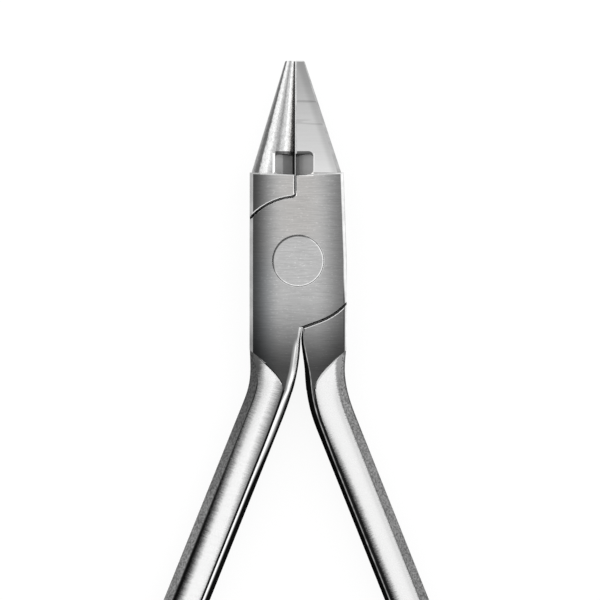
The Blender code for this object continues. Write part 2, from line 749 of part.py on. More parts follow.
# Rivet
def rivet_mesh(name):
    top = JOINT_THICKNESS / 2
    head_floor = top - RIVET_HEAD_DEPTH
    tail_floor = -top + RIVET_TAIL_DEPTH
    return profile_mesh(name, [
        (0.0, top),
        (RIVET_HEAD_RADIUS - RIVET_EDGE_BREAK, top),
        (RIVET_HEAD_RADIUS, top - RIVET_EDGE_BREAK),
        (RIVET_HEAD_RADIUS, head_floor),
        (RIVET_SHANK_RADIUS, head_floor),
        (RIVET_SHANK_RADIUS, tail_floor),
        (RIVET_TAIL_RADIUS, tail_floor),
        (RIVET_TAIL_RADIUS, -top + RIVET_EDGE_BREAK),
        (RIVET_TAIL_RADIUS - RIVET_EDGE_BREAK, -top),
        (0.0, -top),
    ])


def rivet_seat_mesh(name, shape):
    """The counterbore for the rivet's head or tail, and the bore for its shank."""
    top = JOINT_THICKNESS / 2
    floor = top - shape.seat_depth - RIVET_CLEARANCE
    seat = shape.seat_radius + RIVET_CLEARANCE
    bore = RIVET_SHANK_RADIUS + RIVET_CLEARANCE
    return profile_mesh(name, [
        (0.0, top + CUTTER_MARGIN),
        (seat + RIVET_EDGE_BREAK, top + CUTTER_MARGIN),
        (seat + RIVET_EDGE_BREAK, top),
        (seat, top - RIVET_EDGE_BREAK),
        (seat, floor),
        (bore, floor),
        (bore, -CUTTER_MARGIN),
        (0.0, -CUTTER_MARGIN),
    ])


def make_half(name, shape, beak_mesh, material, shading, body, pliers, helpers):
    """One forging: joint body, handle and beak joined, then the lap, the wire cutter and the rivet's seat."""
    handle = add_helper(f"{name} handle", handle_mesh(f"{name} handle", shape), body, helpers)
    for side in (1, -1):
        mill = add_helper(f"{name} mill {side}", mill_mesh(f"{name} mill {side}", shape, side), body, helpers)
        add_boolean(handle, mill, "DIFFERENCE")
    beak = add_helper(f"{name} beak", beak_mesh(f"{name} beak", shape), body, helpers)
    lap = add_helper(f"{name} lap", lap_cutter_mesh(f"{name} lap", shape), body, helpers)
    window = add_helper(f"{name} window", window_mesh(f"{name} window", shape), body, helpers)
    wedge = add_helper(f"{name} wedge", cutter_wedge_mesh(f"{name} wedge", shape), body, helpers)
    add_boolean(window, wedge, "DIFFERENCE")
    seat = add_helper(f"{name} seat", rivet_seat_mesh(f"{name} seat", shape), body, helpers)
    add_turning(seat)

    half = add_part(name, joint_body_mesh(name, shape), material, body, pliers)
    add_rim_chamfers(half)
    add_boolean(half, handle, "UNION")
    add_boolean(half, beak, "UNION")
    add_boolean(half, lap, "DIFFERENCE")
    add_boolean(half, window, "DIFFERENCE")
    add_boolean(half, seat, "DIFFERENCE")
    add_shading(half, shading)
    return half


def make_rivet(name, material, shading, body, pliers):
    rivet = add_part(name, rivet_mesh(name), material, body, pliers)
    add_turning(rivet)
    add_shading(rivet, shading)
    return rivet


def stand_on_footprint(root, parts):
    """Moves the whole object so that the origin is under the middle of its box, on the surface it lies on."""
    bpy.context.view_layer.update()
    graph = bpy.context.evaluated_depsgraph_get()
    corners = []
    for part in parts:
        evaluated = part.evaluated_get(graph)
        corners += [evaluated.matrix_world @ vertex.co for vertex in evaluated.data.vertices]
    low = [min(corner[i] for corner in corners) for i in range(3)]
    high = [max(corner[i] for corner in corners) for i in range(3)]
    root.location = (-(low[0] + high[0]) / 2, -(low[1] + high[1]) / 2, -low[2])


def main():
    clear_scene()
    pliers = make_collection("orthodontic pliers")
    helpers = make_collection("cutters")
    steel = make_material("satin stainless steel", STEEL_COLOUR, 0.35)
    back_steel = make_material("satin stainless steel, back half", STEEL_COLOUR, 0.35)
    rivet_steel = make_material("ground rivet steel", RIVET_COLOUR, 0.30)
    shading = make_shading_group()

    root = make_empty("pliers_root", None, pliers)
    front_body = make_empty("front_half_pivot", root, pliers)
    back_body = make_empty("back_half_pivot", root, pliers)
    back_body.rotation_euler = (0, math.pi, 0)

    parts = [
        make_half("front_half", FRONT, square_beak_mesh, steel, shading, front_body, pliers, helpers),
        make_half("back_half", BACK, round_beak_mesh, back_steel, shading, back_body, pliers, helpers),
        make_rivet("pivot_rivet", rivet_steel, shading, front_body, pliers),
    ]
    stand_on_footprint(root, parts)


main()
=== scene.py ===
"""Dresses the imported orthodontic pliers: smooth steel skins over the two forgings and the rivet, their ground,
polished and matte finishes, a white table and studio light, and the camera straight above the joint's face."""

import json
import math
from typing import NamedTuple

import bpy
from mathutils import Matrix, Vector


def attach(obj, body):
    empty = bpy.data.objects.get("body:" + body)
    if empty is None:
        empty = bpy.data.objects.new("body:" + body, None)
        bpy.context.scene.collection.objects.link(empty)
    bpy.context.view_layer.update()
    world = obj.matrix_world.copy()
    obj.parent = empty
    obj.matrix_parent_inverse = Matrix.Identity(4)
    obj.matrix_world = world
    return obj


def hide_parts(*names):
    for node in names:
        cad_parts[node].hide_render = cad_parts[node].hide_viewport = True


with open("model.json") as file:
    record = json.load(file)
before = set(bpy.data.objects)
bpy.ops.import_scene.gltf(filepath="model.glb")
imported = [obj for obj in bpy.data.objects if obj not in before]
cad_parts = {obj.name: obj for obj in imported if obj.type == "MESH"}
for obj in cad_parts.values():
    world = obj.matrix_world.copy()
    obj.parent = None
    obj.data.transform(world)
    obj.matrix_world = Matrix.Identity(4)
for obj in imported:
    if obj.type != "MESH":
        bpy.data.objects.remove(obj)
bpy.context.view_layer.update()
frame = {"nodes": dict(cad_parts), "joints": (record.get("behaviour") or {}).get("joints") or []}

MM = 0.001
PIVOT = Vector(frame["joints"][0]["pos_m"])

# The camera is far above the joint's face, and the photograph's edges are this far apart there
CAMERA_DISTANCE = 0.9
VIEW_WIDTH = 82.2 * MM
VIEW_CENTRE = PIVOT + Vector((0.25 * MM, -5.36 * MM, 3.6 * MM))
SENSOR_WIDTH = 36.0

# Handle, as the part's source has it: runs are lengths along its middle line
JOINT_HALF_WIDTH = 6.67 * MM
JOINT_FACE_HEIGHT = 3.60 * MM
JOINT_TOP_Y = 12.12 * MM
HANDLE_START_Y = -10.50 * MM
HANDLE_BEND_RUN = 9.50 * MM
HANDLE_BAR_RUN = 41.0 * MM
HANDLE_PALM_RUN = 54.5 * MM
HANDLE_TAIL_HEADING = -6.0
HANDLE_PALM_WIDTH = 6.30 * MM
HANDLE_TAIL_WIDTH = 5.60 * MM
NECK_TO_BAR_RUN = 6.0 * MM
ROOT_HEADING = 1.5
HANDLE_END_ROUNDING = 2.80 * MM
RUN_STEP = 0.25 * MM

# Where the finishes of a handle meet, measured in from its sides
SIDE_CHAMFER = 0.46 * MM
OUTER_FLANK_WIDTH = 1.22 * MM
OUTER_BLEND_RUN = 6.0 * MM
TONGUE_END_RUN = 6.8 * MM
INNER_BLEND_RUN = 9.0 * MM
TONGUE_WIDTH = 1.20 * MM
INNER_WIDTH = 1.10 * MM
CREASE_WIDTH = 0.16 * MM
FACE_CORNER_Y = -12.20 * MM
HANDLE_TOP_Y = FACE_CORNER_Y + 0.05 * MM

# Lap joint, beaks and cutter window
LAP_RADIUS = 8.84 * MM
JAW_LINE_X = -0.40 * MM
JAW_LINE_FOOT_Y = 8.9 * MM
JAW_GAP = 0.04 * MM
CONE_FACE_X = JAW_LINE_X - JAW_GAP / 2
BEAK_ROOT_Y = 11.77 * MM
BEAK_TIP_Y = 27.52 * MM
ROUND_TIP_RADIUS = 0.68 * MM
ROUND_ROOT_RADIUS = 3.06 * MM
WINDOW_TOP_Y = 15.06 * MM
WINDOW_LEFT_X = -3.19 * MM
WINDOW_RIGHT_X = 2.09 * MM
RIVET_RADIUS = 3.48 * MM

# The tent of light, with the way to its brightest part and its levels at its foot and there, and the table
TENT_TOP = (0.30, 0.12, 0.946)
TENT_LOW = 0.78
TENT_HIGH = 1.22
TABLE_REACH = 3.0

WELD_DISTANCE = 0.0005 * MM
CREASE_ANGLE = math.radians(20)

# How level a face lies, as the upright part of its normal: the limits of ground faces, chamfers and walls
GROUND_FACING = 0.9995
CHAMFER_FACING_MAX = 0.97
CHAMFER_FACING_MIN = 0.2
WALL_FACING_MAX = 0.1

# The finishes that the faces of a forging can have
ZONES = (
    "Ground", "Edge", "Parting", "Crown", "Flank", "Crease", "Inner Edge", "Beak", "Beak Edge", "Cone",
    "Face End", "Cutter", "Cutter Wall",
)


class Grip(NamedTuple):
    """A handle's middle line and widths. Outward is -1 for the left handle and 1 for the right one."""
    outward: int
    inner_x: float
    root_run: float
    lean: float
    neck_run: float
    neck_width: float
    bar_width: float


FRONT_GRIP = Grip(-1, 0.30 * MM, 1.5 * MM, 21.9, 9.0 * MM, 5.88 * MM, 5.90 * MM)
BACK_GRIP = Grip(1, -0.43 * MM, 3.2 * MM, 21.75, 4.8 * MM, 5.45 * MM, 5.65 * MM)


def eased(share):
    share = min(1.0, max(0.0, share))
    return share * share * (3 - 2 * share)


def mixed(share, start, end):
    return start + (end - start) * share


# Node trees
class Wiring:
    """Adds and joins the nodes of one tree. A value is a number, a vector, or another node's output."""

    def __init__(self, tree):
        self.tree = tree

    def join(self, value, socket):
        if isinstance(value, bpy.types.NodeSocket):
            self.tree.links.new(value, socket)
        else:
            socket.default_value = value

    def add(self, kind, inputs, **settings):
        node = self.tree.nodes.new(kind)
        for name, value in settings.items():
            setattr(node, name, value)
        for name, value in inputs.items():
            self.join(value, node.inputs[name])
        return node

    def math(self, operation, *values):
        node = self.tree.nodes.new("ShaderNodeMath")
        node.operation = operation
        for i, value in enumerate(values):
            self.join(value, node.inputs[i])
        return node.outputs[0]

    def vector(self, operation, *values):
        node = self.tree.nodes.new("ShaderNodeVectorMath")
        node.operation = operation
        for i, value in enumerate(values):
            self.join(value, node.inputs["Scale"] if operation == "SCALE" and i == 1 else node.inputs[i])
        return node.outputs["Value" if operation in ("DOT_PRODUCT", "LENGTH") else "Vector"]

    def split(self, vector):
        return self.add("ShaderNodeSeparateXYZ", {"Vector": vector}).outputs

    def pair(self, x, y):
        """A vector of these two values."""
        return self.add("ShaderNodeCombineXYZ", {"X": x, "Y": y}).outputs[0]

    def ease(self, value, start, end, low=0.0, high=1.0):
        """Goes smoothly from low to high while the value goes from start to end."""
        inputs = {"Value": value, "From Min": start, "From Max": end, "To Min": low, "To Max": high}
        return self.add("ShaderNodeMapRange", inputs, interpolation_type="SMOOTHSTEP").outputs["Result"]

    def all_of(self, *tests):
        result = tests[0]
        for test in tests[1:]:
            result = self.math("MULTIPLY", result, test)
        return result

    def band(self, value, start, full, fading, end):
        """1 from full to fading, and smoothly down to 0 at the start and the end."""
        return self.all_of(self.ease(value, start, full), self.ease(value, end, fading))

    def above(self, value, limit):
        return self.math("GREATER_THAN", value, limit)

    def below(self, value, limit):
        return self.math("LESS_THAN", value, limit)


# Skins over the CAD nodes
def handle_heading(grip, run):
    """The angle in radians by which the handle leans out at this run."""
    if run < HANDLE_BAR_RUN:
        return math.radians(mixed(eased((run - grip.root_run) / HANDLE_BEND_RUN), ROOT_HEADING, grip.lean))
    return math.radians(mixed(eased((run - HANDLE_BAR_RUN) / HANDLE_PALM_RUN), grip.lean, HANDLE_TAIL_HEADING))


def handle_width(grip, run):
    levels = [
        (0.0, JOINT_HALF_WIDTH + grip.inner_x),
        (grip.neck_run, grip.neck_width),
        (grip.neck_run + NECK_TO_BAR_RUN, grip.bar_width),
        (HANDLE_BAR_RUN, grip.bar_width),
        (HANDLE_BAR_RUN + HANDLE_PALM_RUN / 2, HANDLE_PALM_WIDTH),
        (HANDLE_BAR_RUN + HANDLE_PALM_RUN, HANDLE_TAIL_WIDTH),
    ]
    for (start, size), (end, following) in zip(levels, levels[1:]):
        if run <= end:
            return mixed(eased((run - start) / (end - start)), size, following)
    return HANDLE_TAIL_WIDTH


def make_grip_line(name, grip):
    """The handle's middle line as a curve with a point at every step, whose radius is half the width there."""
    count = round((HANDLE_BAR_RUN + HANDLE_PALM_RUN) / RUN_STEP)
    curve = bpy.data.curves.new(name, "CURVE")
    curve.dimensions = "3D"
    spline = curve.splines.new("POLY")
    spline.points.add(count)
    x = PIVOT.x + grip.outward * (JOINT_HALF_WIDTH - grip.inner_x) / 2
    y = PIVOT.y + HANDLE_START_Y
    for i, point in enumerate(spline.points):
        point.co = (x, y, PIVOT.z, 1)
        point.radius = handle_width(grip, i * RUN_STEP) / 2
        heading = handle_heading(grip, (i + 0.5) * RUN_STEP)
        x += grip.outward * RUN_STEP * math.sin(heading)
        y -= RUN_STEP * math.cos(heading)
    line = bpy.data.objects.new(name, curve)
    bpy.context.scene.collection.objects.link(line)
    return line


def add_socket(tree, name, kind, value=None):
    socket = tree.interface.new_socket(name, in_out="INPUT", socket_type=kind)
    if value is not None:
        socket.default_value = value


def add_smooth_skin(wires, geometry, sizes):
    """Joins loose triangles, and shades the surface smooth between its creases."""
    inputs = {"Geometry": geometry, "Distance": sizes["Weld Distance"]}
    joined = wires.add("GeometryNodeMergeByDistance", inputs)
    faces = wires.add("GeometryNodeSetShadeSmooth", {"Geometry": joined.outputs[0]})
    angle = wires.add("GeometryNodeInputMeshEdgeAngle", {}).outputs["Unsigned Angle"]
    soft = wires.add("FunctionNodeCompare", {}, operation="LESS_THAN")
    wires.join(angle, soft.inputs[0])
    wires.join(sizes["Crease Angle"], soft.inputs[1])
    edges = wires.add(
        "GeometryNodeSetShadeSmooth",
        {"Geometry": faces.outputs[0], "Shade Smooth": soft.outputs[0]},
        domain="EDGE",
    )
    return edges.outputs[0]


def make_forging_tree():
    """Turns a forging's CAD mesh into its skin. It gives every corner its run along the handle and its distances
    from the handle's sides, as two UV maps in millimetres, and every face the finish of its zone."""
    tree = bpy.data.node_groups.new("dress forging", "GeometryNodeTree")
    add_socket(tree, "Geometry", "NodeSocketGeometry")
    add_socket(tree, "Grip Line", "NodeSocketObject")
    add_socket(tree, "Outward", "NodeSocketFloat", 1.0)
    add_socket(tree, "Pivot", "NodeSocketVector")
    add_socket(tree, "Root Run", "NodeSocketFloat", 0.0)
    add_socket(tree, "Round Beak", "NodeSocketFloat", 0.0)
    add_socket(tree, "Inner Edge Top", "NodeSocketFloat", HANDLE_START_Y)
    add_socket(tree, "Weld Distance", "NodeSocketFloat", WELD_DISTANCE)
    add_socket(tree, "Crease Angle", "NodeSocketFloat", CREASE_ANGLE)
    for zone in ZONES:
        add_socket(tree, zone, "NodeSocketMaterial")
    tree.interface.new_socket("Geometry", in_out="OUTPUT", socket_type="NodeSocketGeometry")
    wires = Wiring(tree)
    given = wires.add("NodeGroupInput", {}).outputs
    skin = add_smooth_skin(wires, given["Geometry"], given)
    run, across, half_width = measure_grip(wires, given)
    to_outer = wires.math("SUBTRACT", half_width, across)
    to_inner = wires.math("ADD", half_width, across)
    skin = store_map(wires, skin, "UVMap", run, across)
    skin = store_map(wires, skin, "Section", to_outer, to_inner)
    zoned = handle_zones(wires, given, run, to_outer, to_inner) + head_zones(wires, given)
    for zone, selection in zoned + crotch_zone(wires, given):
        chosen = wires.add("FunctionNodeCompare", {}, operation="GREATER_THAN")
        wires.join(selection, chosen.inputs[0])
        chosen.inputs[1].default_value = 0.5
        inputs = {"Geometry": skin, "Selection": chosen.outputs[0], "Material": given[zone]}
        skin = wires.add("GeometryNodeSetMaterial", inputs).outputs[0]
    result = wires.add("GeometryNodeRealizeInstances", {"Geometry": skin})
    wires.join(result.outputs[0], wires.add("NodeGroupOutput", {}).inputs[0])
    return tree


def measure_grip(wires, given):
    """The run along the grip line, the place across it, and half the handle's width there. In the round end the
    section shrinks, and the place across is given as on a section of full size."""
    line = wires.add("GeometryNodeObjectInfo", {"Object": given["Grip Line"]}, transform_space="ORIGINAL")
    marks = wires.add("GeometryNodeCurveToPoints", {"Curve": line.outputs["Geometry"]}, mode="EVALUATED")
    place = wires.add("GeometryNodeInputPosition", {}).outputs[0]
    inputs = {"Geometry": marks.outputs["Points"], "Sample Position": place}
    nearest = wires.add("GeometryNodeSampleNearest", inputs).outputs["Index"]

    def at_mark(value, kind):
        node = wires.add("GeometryNodeSampleIndex", {}, data_type=kind)
        wires.join(marks.outputs["Points"], node.inputs["Geometry"])
        wires.join(value, node.inputs["Value"])
        wires.join(nearest, node.inputs["Index"])
        return node.outputs["Value"]

    from_mark = wires.vector("SUBTRACT", place, at_mark(place, "FLOAT_VECTOR"))
    way = at_mark(marks.outputs["Tangent"], "FLOAT_VECTOR")
    half_width = at_mark(wires.add("GeometryNodeInputRadius", {}).outputs[0], "FLOAT")
    run = wires.math("MULTIPLY_ADD", nearest, RUN_STEP, wires.vector("DOT_PRODUCT", from_mark, way))
    down = wires.add("ShaderNodeCombineXYZ", {"Z": wires.math("MULTIPLY", given["Outward"], -1.0)}).outputs[0]
    across = wires.vector("DOT_PRODUCT", from_mark, wires.vector("CROSS_PRODUCT", way, down))
    body_run = HANDLE_BAR_RUN + HANDLE_PALM_RUN - HANDLE_END_ROUNDING
    past = wires.math("DIVIDE", wires.math("SUBTRACT", run, body_run), HANDLE_END_ROUNDING)
    past = wires.math("MINIMUM", wires.math("MAXIMUM", past, 0.0), 0.97)
    shrunk = wires.math("SQRT", wires.math("SUBTRACT", 1.0, wires.math("MULTIPLY", past, past)))
    return run, wires.math("DIVIDE", across, shrunk), half_width


def store_map(wires, geometry, name, u, v):
    inputs = {"Geometry": geometry, "Name": name, "Value": wires.vector("SCALE", wires.pair(u, v), 1 / MM)}
    settings = {"data_type": "FLOAT2", "domain": "CORNER"}
    return wires.add("GeometryNodeStoreNamedAttribute", inputs, **settings).outputs[0]


def read_faces(wires, given):
    """Where a face is, from the pivot, and how it is turned."""
    place = wires.add("GeometryNodeInputPosition", {}).outputs[0]
    offset = wires.split(wires.vector("SUBTRACT", place, given["Pivot"]))
    normal = wires.split(wires.add("GeometryNodeInputNormal", {}).outputs[0])
    return offset, normal, wires.math("ABSOLUTE", normal["Z"])


def handle_zones(wires, given, run, to_outer, to_inner):
    """The finishes along a handle, each over the ones before it."""
    offset, normal, facing = read_faces(wires, given)
    height = wires.math("ABSOLUTE", offset["Z"])
    flat = wires.all_of(
        wires.above(facing, GROUND_FACING),
        wires.above(height, JOINT_FACE_HEIGHT - 0.05 * MM),
        wires.below(height, JOINT_FACE_HEIGHT + 0.02 * MM),
    )
    on_handle = wires.all_of(wires.math("SUBTRACT", 1.0, flat), wires.below(offset["Y"], HANDLE_TOP_Y))
    blend_end = wires.math("ADD", given["Root Run"], OUTER_BLEND_RUN)
    flank_end = wires.ease(run, given["Root Run"], blend_end, SIDE_CHAMFER, OUTER_FLANK_WIDTH)
    tongue_blend_end = TONGUE_END_RUN + INNER_BLEND_RUN
    crease_end = wires.ease(run, TONGUE_END_RUN, tongue_blend_end, TONGUE_WIDTH, INNER_WIDTH)
    strip_end = wires.math("SUBTRACT", crease_end, CREASE_WIDTH)
    inside = wires.below(to_inner, strip_end)
    face_end = wires.all_of(
        wires.above(facing, 0.5), wires.below(facing, 0.9), wires.above(normal["Y"], 0.2),
        wires.above(height, JOINT_FACE_HEIGHT - 0.06 * MM), wires.above(offset["Y"], FACE_CORNER_Y - 6.0 * MM),
        wires.below(offset["Y"], FACE_CORNER_Y + 0.4 * MM),
    )
    return [
        ("Ground", 1.0),
        ("Crown", on_handle),
        ("Flank", wires.all_of(on_handle, wires.below(to_outer, flank_end))),
        ("Crease", wires.all_of(on_handle, wires.below(to_inner, crease_end))),
        ("Inner Edge", wires.all_of(on_handle, inside)),
        ("Flank", wires.all_of(on_handle, inside, wires.below(facing, WALL_FACING_MAX))),
        ("Face End", face_end),
    ]


def crotch_zone(wires, given):
    """The inner chamfer from the crotch down to the end of the ground face."""
    offset, normal, facing = read_faces(wires, given)
    beside_crotch = wires.below(wires.math("ABSOLUTE", offset["X"]), 2.8 * MM)
    inner_side = wires.below(wires.math("MULTIPLY", normal["X"], given["Outward"]), -0.3)
    return [("Inner Edge", wires.all_of(
        wires.below(offset["Y"], given["Inner Edge Top"]), beside_crotch, inner_side,
        wires.above(facing, CHAMFER_FACING_MIN), wires.above(offset["Y"], FACE_CORNER_Y - 1.0 * MM),
    ))]


def head_zones(wires, given):
    """The finishes of the joint body, the beaks and the cutter, each over the ones before it."""
    offset, normal, facing = read_faces(wires, given)
    x, y = offset["X"], offset["Y"]
    above_handle = wires.above(y, HANDLE_TOP_Y)
    slanted = wires.all_of(wires.above(facing, CHAMFER_FACING_MIN), wires.below(facing, CHAMFER_FACING_MAX))
    on_beak = wires.above(y, JOINT_TOP_Y + 0.01 * MM)
    round_beak = wires.all_of(on_beak, given["Round Beak"])
    square_beak = wires.all_of(on_beak, wires.below(given["Round Beak"], 0.5))
    in_window = wires.all_of(
        wires.above(y, JOINT_TOP_Y - 0.5 * MM), wires.below(y, WINDOW_TOP_Y + 0.02 * MM)
    )
    from_axis = wires.math("SQRT", wires.math("MULTIPLY_ADD", x, x, wires.math("MULTIPLY", y, y)))
    on_arc = wires.below(wires.math("ABSOLUTE", wires.math("SUBTRACT", from_axis, LAP_RADIUS)), 0.35 * MM)
    from_jaw = wires.math("ABSOLUTE", wires.math("SUBTRACT", x, JAW_LINE_X))
    on_jaw = wires.all_of(
        wires.below(from_jaw, 0.75 * MM), wires.above(y, 8.2 * MM), wires.below(y, JOINT_TOP_Y),
        wires.below(wires.math("ABSOLUTE", normal["Y"]), 0.98),
    )
    on_side = wires.all_of(
        wires.below(wires.math("ABSOLUTE", normal["Y"]), 0.1), wires.above(wires.math("ABSOLUTE", x), 6.0 * MM)
    )
    parting = wires.all_of(
        above_handle, wires.below(facing, CHAMFER_FACING_MAX), wires.math("SUBTRACT", 1.0, on_side),
        wires.math("MAXIMUM", on_arc, on_jaw), wires.below(y, JOINT_TOP_Y - 0.25 * MM),
    )
    beak_outward = wires.math("MULTIPLY", normal["X"], given["Outward"])
    level = wires.below(wires.math("ABSOLUTE", normal["Y"]), 0.05)
    return [
        ("Edge", wires.all_of(slanted, above_handle)),
        ("Parting", parting),
        ("Beak", wires.all_of(on_beak, wires.above(facing, CHAMFER_FACING_MAX))),
        ("Beak Edge", wires.all_of(square_beak, slanted, wires.below(beak_outward, -0.2))),
        ("Cone", round_beak),
        ("Cutter", wires.all_of(in_window, slanted, level, wires.above(beak_outward, 0.3))),
        ("Cutter Wall", wires.all_of(in_window, on_beak, wires.below(normal["Y"], -0.6))),
    ]


def set_input(modifier, name, value):
    for socket in modifier.node_group.interface.items_tree:
        if socket.item_type == "SOCKET" and socket.in_out == "INPUT" and socket.name == name:
            modifier[socket.identifier] = value


def dressed_copy(name, node, tree, values):
    """A new piece from a CAD node's mesh and a tree, with its modifier already made into a plain mesh."""
    piece = bpy.data.objects.new(name, frame["nodes"][node].data.copy())
    piece.data.materials.clear()
    bpy.context.scene.collection.objects.link(piece)
    modifier = piece.modifiers.new(tree.name, "NODES")
    modifier.node_group = tree
    for key, value in values.items():
        set_input(modifier, key, value)
    bpy.context.view_layer.update()
    evaluated = piece.evaluated_get(bpy.context.evaluated_depsgraph_get())
    finished = bpy.data.meshes.new_from_object(evaluated)
    piece.modifiers.clear()
    rough = piece.data
    piece.data = finished
    finished.name = name
    bpy.data.meshes.remove(rough)
    return piece


# Finishes
class Steel:
    """One steel finish: a metal shader, and the coordinates and patterns that its finish is made of. Lengths on
    the object are in metres from the pivot, and those along and across a handle are in millimetres."""

    def __init__(self, name, roughness, metallic=1.0):
        self.material = bpy.data.materials.new(name)
        self.material.use_nodes = True
        tree = self.material.node_tree
        self.wires = Wiring(tree)
        self.shader = tree.nodes["Principled BSDF"]
        self.shader.inputs["Metallic"].default_value = metallic
        self.shader.inputs["Roughness"].default_value = roughness
        self.spot = self.wires.add("ShaderNodeTexCoord", {}).outputs["Object"]
        self.along = self.wires.add("ShaderNodeUVMap", {}, uv_map="UVMap").outputs[0]
        self.bumps = None

    def noise(self, coordinate, scale, detail=3.0, roughness=0.55):
        """A soft random pattern from 0 to 1. Scale is in cycles a unit along each axis."""
        stretched = self.wires.vector("MULTIPLY", coordinate, scale)
        inputs = {"Vector": stretched, "Scale": 1.0, "Detail": detail, "Roughness": roughness}
        return self.wires.add("ShaderNodeTexNoise", inputs).outputs["Fac"]

    def from_pivot(self):
        return self.wires.split(self.wires.vector("SUBTRACT", self.spot, tuple(PIVOT)))

    def true_normal(self):
        return self.wires.add("ShaderNodeNewGeometry", {}).outputs["Normal"]

    def run(self):
        """The run along the handle."""
        return self.wires.split(self.along)["X"]

    def section(self):
        """The distances from the handle's outer and inner sides, as X and Y."""
        return self.wires.split(self.wires.add("ShaderNodeUVMap", {}, uv_map="Section").outputs[0])

    def to_outer(self):
        return self.section()["X"]

    def to_inner(self):
        return self.section()["Y"]

    def tone(self, value, start, end, *stops):
        """A level that follows the stops (share of the way, level) while the value goes from start to end."""
        share = self.wires.add("ShaderNodeMapRange", {"Value": value, "From Min": start, "From Max": end})
        ramp = self.wires.add("ShaderNodeValToRGB", {"Fac": share.outputs["Result"]})
        elements = ramp.color_ramp.elements
        while len(elements) < len(stops):
            elements.new(1.0)
        for element, (position, level) in zip(elements, stops):
            element.position = position
            element.color = (level, level, level, 1)
        return ramp.outputs["Color"]

    def around(self, pattern, swing):
        """A factor of 1 that swings by this much on both sides as the pattern goes from 0 to 1."""
        return self.wires.math("MULTIPLY_ADD", pattern, 2 * swing, 1 - swing)

    def shaken(self, value, pattern, swing):
        """The value, moved to and fro by half this swing as the pattern goes from 0 to 1."""
        return self.wires.math("MULTIPLY_ADD", self.wires.math("SUBTRACT", pattern, 0.5), swing, value)

    def paint(self, *levels, tint=(1, 1, 1)):
        """Colours the steel by the product of these levels."""
        colour = self.wires.vector("SCALE", tint, self.wires.all_of(*levels))
        self.wires.join(colour, self.shader.inputs["Base Color"])

    def set_roughness(self, pattern, low, high):
        self.wires.join(self.wires.ease(pattern, 0.0, 1.0, low, high), self.shader.inputs["Roughness"])

    def dull(self, shine):
        """Makes the steel matte where shine is 0, with no gloss at a low angle, so that painted black shade
        stays black.
        """
        self.wires.join(shine, self.shader.inputs["Metallic"])
        self.shader.inputs["Specular IOR Level"].default_value = 0.0

    def add_bump(self, pattern, depth, strength=1.0):
        inputs = {"Height": pattern, "Distance": depth, "Strength": strength}
        if self.bumps is not None:
            inputs["Normal"] = self.bumps
        self.bumps = self.wires.add("ShaderNodeBump", inputs).outputs["Normal"]
        self.wires.join(self.bumps, self.shader.inputs["Normal"])


def painted_ground_shade(steel):
    """Painted shade on the ground face, as a level: it darkens towards its sides, most of all the left one, and
    to its lower end."""
    wires = steel.wires
    place = steel.from_pivot()
    left = wires.ease(place["X"], -6.2 * MM, -2.1 * MM, 0.13, 1.0)
    right = wires.ease(place["X"], 2.2 * MM, 6.5 * MM, 1.0, 0.38)
    low = wires.ease(place["Y"], -3.8 * MM, -15.2 * MM, 1.0, 0.14)
    return wires.all_of(left, right, low)


def ground_tint(steel):
    """A faint straw tint above the rivet, and a cold one at the lower sides."""
    wires = steel.wires
    place = steel.from_pivot()
    warm = wires.all_of(
        wires.ease(place["Y"], 0.0, 5.0 * MM),
        wires.ease(wires.math("ABSOLUTE", place["X"]), 4.5 * MM, 1.0 * MM),
    )
    cold = wires.all_of(
        wires.ease(place["Y"], 3.0 * MM, -3.0 * MM),
        wires.ease(place["X"], -2.5 * MM, -5.0 * MM),
    )
    swing = wires.math("SUBTRACT", wires.math("MULTIPLY", warm, 0.022), wires.math("MULTIPLY", cold, 0.030))
    red = wires.math("ADD", 1.0, swing)
    blue = wires.math("SUBTRACT", 1.0, swing)
    return wires.add("ShaderNodeCombineXYZ", {"X": red, "Y": 1.0, "Z": blue}).outputs[0]


def brush_marks(steel):
    """Fine straight brushing across the joint, with short light specks."""
    wires = steel.wires
    lines = steel.noise(steel.spot, (500, 6500, 900), detail=4.0, roughness=0.7)
    specks = wires.ease(steel.noise(steel.spot, (2400, 6800, 900), detail=1.0), 0.62, 0.74, 1.0, 1.26)
    marks = wires.math("MULTIPLY", steel.around(lines, 0.38), specks)
    return lines, marks


def painted_highlight_rims(steel):
    """The level of two painted highlights, thin bright rims on the ground face: along the jaw line and under the
    window.
    """
    wires = steel.wires
    place = steel.from_pivot()
    from_jaw = wires.math("ABSOLUTE", wires.math("SUBTRACT", place["X"], CONE_FACE_X))
    near_jaw = wires.ease(from_jaw, 0.27 * MM, 0.24 * MM)
    jaw_highlight = wires.all_of(near_jaw, wires.above(place["Y"], JAW_LINE_FOOT_Y))
    lip = wires.all_of(
        wires.ease(place["Y"], 11.60 * MM, 11.65 * MM), wires.above(place["X"], JAW_LINE_X),
        wires.below(place["X"], WINDOW_RIGHT_X),
    )
    return wires.math("MULTIPLY", wires.math("MAXIMUM", jaw_highlight, lip), 0.88)


